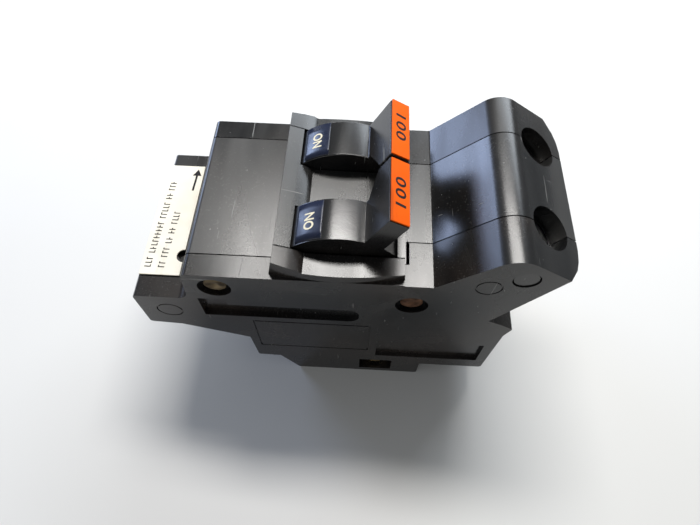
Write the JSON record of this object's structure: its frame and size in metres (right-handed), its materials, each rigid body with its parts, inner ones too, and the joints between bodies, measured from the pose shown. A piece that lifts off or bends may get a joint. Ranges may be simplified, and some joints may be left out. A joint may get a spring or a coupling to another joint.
{
  "type": "molded case circuit breaker",
  "caption": "Molded case breaker with tilted handles, screw terminals in a raised head and plug-in jaws underneath.",
  "frame": {"origin": "middle of the case in plan, at the underside that faces the panel", "axes": "+X towards the load terminals, +Z out of the panel, +Y across the poles"},
  "size_m": [0.1116, 0.0508, 0.0796],
  "materials": {
    "black_phenolic": "satin, worn",
    "paper_label": "matte",
    "orange_label": "satin",
    "brass": "dull",
    "copper": "tarnished",
    "silver_alloy": "satin",
    "fibre": "matte",
    "steel": "zinc plated",
    "aluminium": "satin"
  },
  "bodies": {
    "case": {"centre_body": "black_phenolic", "line_label": "paper_label", "line_rivet": "brass", "load_rivet": "copper", "arm_pin": "steel", "cradle_pin": "steel", "armature_pin": "steel", "near_cover": "black_phenolic", "far_cover": "black_phenolic", "near_plug": "black_phenolic", "far_plug": "black_phenolic", "near_line_jaw": "copper", "far_line_jaw": "copper", "near_jaw_spring": "brass", "far_jaw_spring": "brass", "near_line_strap": "copper", "far_line_strap": "copper", "near_fixed_contact": "silver_alloy", "far_fixed_contact": "silver_alloy", "near_arc_wrap": "fibre", "far_arc_wrap": "fibre", "near_arc_plate_1": "steel", "far_arc_plate_1": "steel", "near_arc_plate_2": "steel", "far_arc_plate_2": "steel", "near_arc_plate_3": "steel", "far_arc_plate_3": "steel", "near_load_strap": "copper", "far_load_strap": "copper", "near_bimetal": "brass", "far_bimetal": "brass", "near_magnet_yoke": "steel", "far_magnet_yoke": "steel", "near_calibration_screw": "brass", "far_calibration_screw": "brass", "near_lug": "aluminium", "far_lug": "aluminium", "near_braid": "copper", "far_braid": "copper"},
    "handles": {"handle_shaft": "steel", "near_handle": "black_phenolic", "far_handle": "black_phenolic", "near_rating_label": "orange_label", "far_rating_label": "orange_label"},
    "trip_bar": {"trip_bar": "fibre"},
    "near_contacts": {"near_contact_carrier": "fibre", "near_contact_arm": "copper", "near_contact_tip": "silver_alloy", "near_contact_spring": "steel"},
    "near_latch": {"near_cradle": "steel"},
    "near_armature": {"near_armature": "steel"},
    "near_screw": {"near_lug_screw": "steel"},
    "far_contacts": {"far_contact_carrier": "fibre", "far_contact_arm": "copper", "far_contact_tip": "silver_alloy", "far_contact_spring": "steel"},
    "far_latch": {"far_cradle": "steel"},
    "far_armature": {"far_armature": "steel"},
    "far_screw": {"far_lug_screw": "steel"}
  },
  "joints": [
    {"name": "handle_swing", "type": "hinge", "parent": "case", "child": "handles", "pos_m": [-0.0014, 0, 0.0536], "axis": [0, 1, 0], "range_deg": [-57, 0]},
    {"name": "near_contact_swing", "type": "hinge", "parent": "case", "child": "near_contacts", "pos_m": [-0.0014, 0, 0.034], "axis": [0, 1, 0], "range_deg": [0, 20.1]},
    {"name": "near_cradle_drop", "type": "hinge", "parent": "case", "child": "near_latch", "pos_m": [0.0095, 0, 0.0415], "axis": [0, 1, 0], "range_deg": [0, 12], "stiffness_Nm_per_rad": 0.003, "springref_deg": -17.19},
    {"name": "near_armature_pull", "type": "hinge", "parent": "case", "child": "near_armature", "pos_m": [0.0242, 0, 0.0176], "axis": [0, 1, 0], "range_deg": [0, 3.4], "stiffness_Nm_per_rad": 0.002, "springref_deg": -17.19},
    {"name": "near_screw_turn", "type": "hinge", "parent": "case", "child": "near_screw", "pos_m": [0.04042, -0.0127, 0.05903], "axis": [0.5417, 0, 0.8406], "continuous": true},
    {"name": "far_contact_swing", "type": "hinge", "parent": "case", "child": "far_contacts", "pos_m": [-0.0014, 0, 0.034], "axis": [0, 1, 0], "range_deg": [0, 20.1]},
    {"name": "far_cradle_drop", "type": "hinge", "parent": "case", "child": "far_latch", "pos_m": [0.0095, 0, 0.0415], "axis": [0, 1, 0], "range_deg": [0, 12], "stiffness_Nm_per_rad": 0.003, "springref_deg": -17.19},
    {"name": "far_armature_pull", "type": "hinge", "parent": "case", "child": "far_armature", "pos_m": [0.0242, 0, 0.0176], "axis": [0, 1, 0], "range_deg": [0, 3.4], "stiffness_Nm_per_rad": 0.002, "springref_deg": -17.19},
    {"name": "far_screw_turn", "type": "hinge", "parent": "case", "child": "far_screw", "pos_m": [0.04042, 0.0127, 0.05903], "axis": [0.5417, 0, 0.8406], "continuous": true},
    {"name": "trip_bar_turn", "type": "hinge", "parent": "case", "child": "trip_bar", "pos_m": [0.024, 0, 0.05], "axis": [0, 1, 0], "range_deg": [-6, 0], "stiffness_Nm_per_rad": 0.004, "springref_deg": 11.46}
  ],
  "couplings": [
    {"joint": "near_contact_swing", "follows": "handle_swing", "ratio": -0.35088},
    {"joint": "far_contact_swing", "follows": "handle_swing", "ratio": -0.35088}
  ]
}
